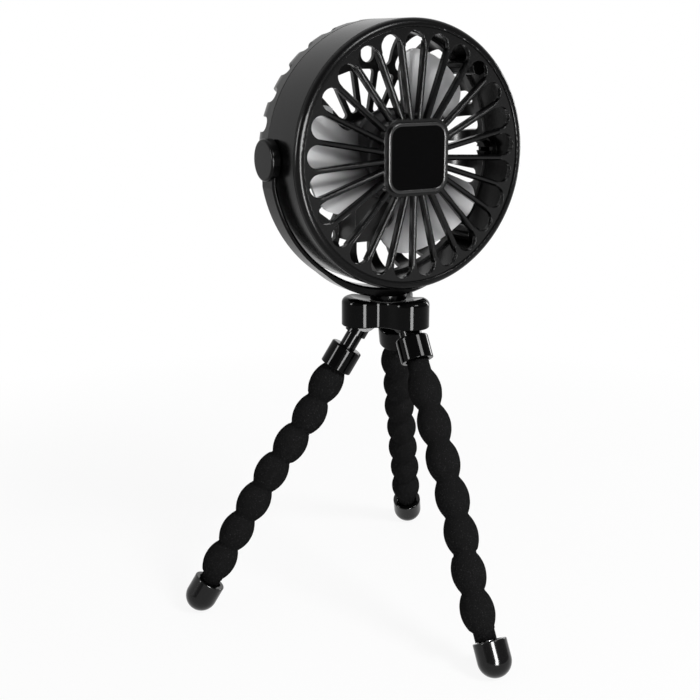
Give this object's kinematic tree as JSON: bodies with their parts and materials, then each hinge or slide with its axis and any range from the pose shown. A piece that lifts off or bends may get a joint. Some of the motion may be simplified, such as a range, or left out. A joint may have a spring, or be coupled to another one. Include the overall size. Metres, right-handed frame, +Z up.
{
  "type": "flexible-leg tripod fan",
  "caption": "Small battery fan with a round slotted housing in a U-shaped yoke, on a tripod whose beaded sponge legs bend.",
  "frame": {"origin": "on the floor under the axis of the hub's bolt, midway between the feet", "axes": "+Z up along the hub's bolt; the fan faces -Y and its tilt axis runs along X"},
  "size_m": [0.1496, 0.1646, 0.2581],
  "materials": {
    "housing_black": "satin",
    "badge_gloss": "gloss",
    "yoke_black": "satin",
    "hub_gloss": "gloss",
    "washer_nylon": "matte",
    "screw_steel": "brushed",
    "motor_steel": "brushed",
    "motor_cap_plastic": "matte",
    "battery_foil": "satin",
    "board_green": "satin",
    "switch_black": "matte",
    "socket_steel": "brushed",
    "lens_clear": "gloss",
    "button_black": "satin gloss",
    "rotor_grey": "satin",
    "insert_brass": "machined",
    "knuckle_black": "gloss",
    "collar_gloss": "gloss",
    "wire_steel": "drawn",
    "sponge_black": "matt open-cell sponge",
    "foot_gloss": "gloss"
  },
  "bodies": {
    "stand": {"tripod_hub": "hub_gloss", "friction_washer": "washer_nylon", "hub_cap": "hub_gloss", "hinge_pins": "screw_steel"},
    "yoke_frame": {"yoke": "yoke_black", "pivot_pin_left": "yoke_black", "pivot_pin_right": "yoke_black", "thread_insert": "insert_brass", "swivel_bolt": "screw_steel"},
    "head": {"front_ring": "housing_black", "front_grille": "housing_black", "badge_frame": "badge_gloss", "centre_badge": "badge_gloss", "rear_cover": "housing_black", "pod_cover": "housing_black", "pod_screws": "screw_steel", "housing_screws": "screw_steel", "motor_can": "motor_steel", "motor_end_cap": "motor_cap_plastic", "battery_cell": "battery_foil", "circuit_board": "board_green", "tact_switch": "switch_black", "usb_socket": "socket_steel", "indicator_lens": "lens_clear"},
    "rotor": {"fan_rotor": "rotor_grey", "motor_shaft": "screw_steel"},
    "button": {"power_button": "button_black", "switch_plunger": "switch_black"},
    "leg_left_upper": {"knuckle_left": "knuckle_black", "collar_left": "collar_gloss", "wire_upper_left": "wire_steel", "foam_upper_left": "sponge_black"},
    "leg_left_lower": {"foam_lower_left": "sponge_black", "wire_lower_left": "wire_steel", "foot_left": "foot_gloss"},
    "leg_front_upper": {"knuckle_front": "knuckle_black", "collar_front": "collar_gloss", "wire_upper_front": "wire_steel", "foam_upper_front": "sponge_black"},
    "leg_front_lower": {"foam_lower_front": "sponge_black", "wire_lower_front": "wire_steel", "foot_front": "foot_gloss"},
    "leg_back_upper": {"knuckle_back": "knuckle_black", "collar_back": "collar_gloss", "wire_upper_back": "wire_steel", "foam_upper_back": "sponge_black"},
    "leg_back_lower": {"foam_lower_back": "sponge_black", "wire_lower_back": "wire_steel", "foot_back": "foot_gloss"}
  },
  "joints": [
    {"name": "leg_left_fold", "type": "hinge", "parent": "stand", "child": "leg_left_upper", "pos_m": [-0.01072, 0.00247, 0.13247], "axis": [-0.3371, -0.9415, 0], "range_deg": [0, 30]},
    {"name": "leg_left_flex", "type": "hinge", "parent": "leg_left_upper", "child": "leg_left_lower", "pos_m": [-0.04504, 0.01476, 0.07107], "axis": [0.3371, 0.9415, 0], "range_deg": [-40, 40]},
    {"name": "leg_front_fold", "type": "hinge", "parent": "stand", "child": "leg_front_upper", "pos_m": [0.00322, -0.01052, 0.13247], "axis": [0.9983, -0.0576, 0], "range_deg": [0, 30]},
    {"name": "leg_front_flex", "type": "hinge", "parent": "leg_front_upper", "child": "leg_front_lower", "pos_m": [0.00112, -0.04691, 0.07107], "axis": [-0.9983, 0.0576, 0], "range_deg": [-40, 40]},
    {"name": "leg_back_fold", "type": "hinge", "parent": "stand", "child": "leg_back_upper", "pos_m": [0.0075, 0.00805, 0.13247], "axis": [-0.7738, 0.6334, 0], "range_deg": [0, 30]},
    {"name": "leg_back_flex", "type": "hinge", "parent": "leg_back_upper", "child": "leg_back_lower", "pos_m": [0.03059, 0.03625, 0.07107], "axis": [0.7738, -0.6334, 0], "range_deg": [-40, 40]},
    {"name": "yoke_swivel", "type": "hinge", "parent": "stand", "child": "yoke_frame", "pos_m": [0, 0, 0.14007], "axis": [0, 0, 1], "continuous": true},
    {"name": "head_tilt", "type": "hinge", "parent": "yoke_frame", "child": "head", "pos_m": [0, 0, 0.20311], "axis": [1, 0, 0], "range_deg": [-90, 4]},
    {"name": "rotor_spin", "type": "hinge", "parent": "head", "child": "rotor", "pos_m": [0, 0, 0.20311], "axis": [0, -1, 0], "continuous": true},
    {"name": "button_press", "type": "slide", "parent": "head", "child": "button", "axis": [0, -1, 0], "range_m": [0, 0.0008], "stiffness_N_per_m": 600, "springref_m": -0.001}
  ]
}
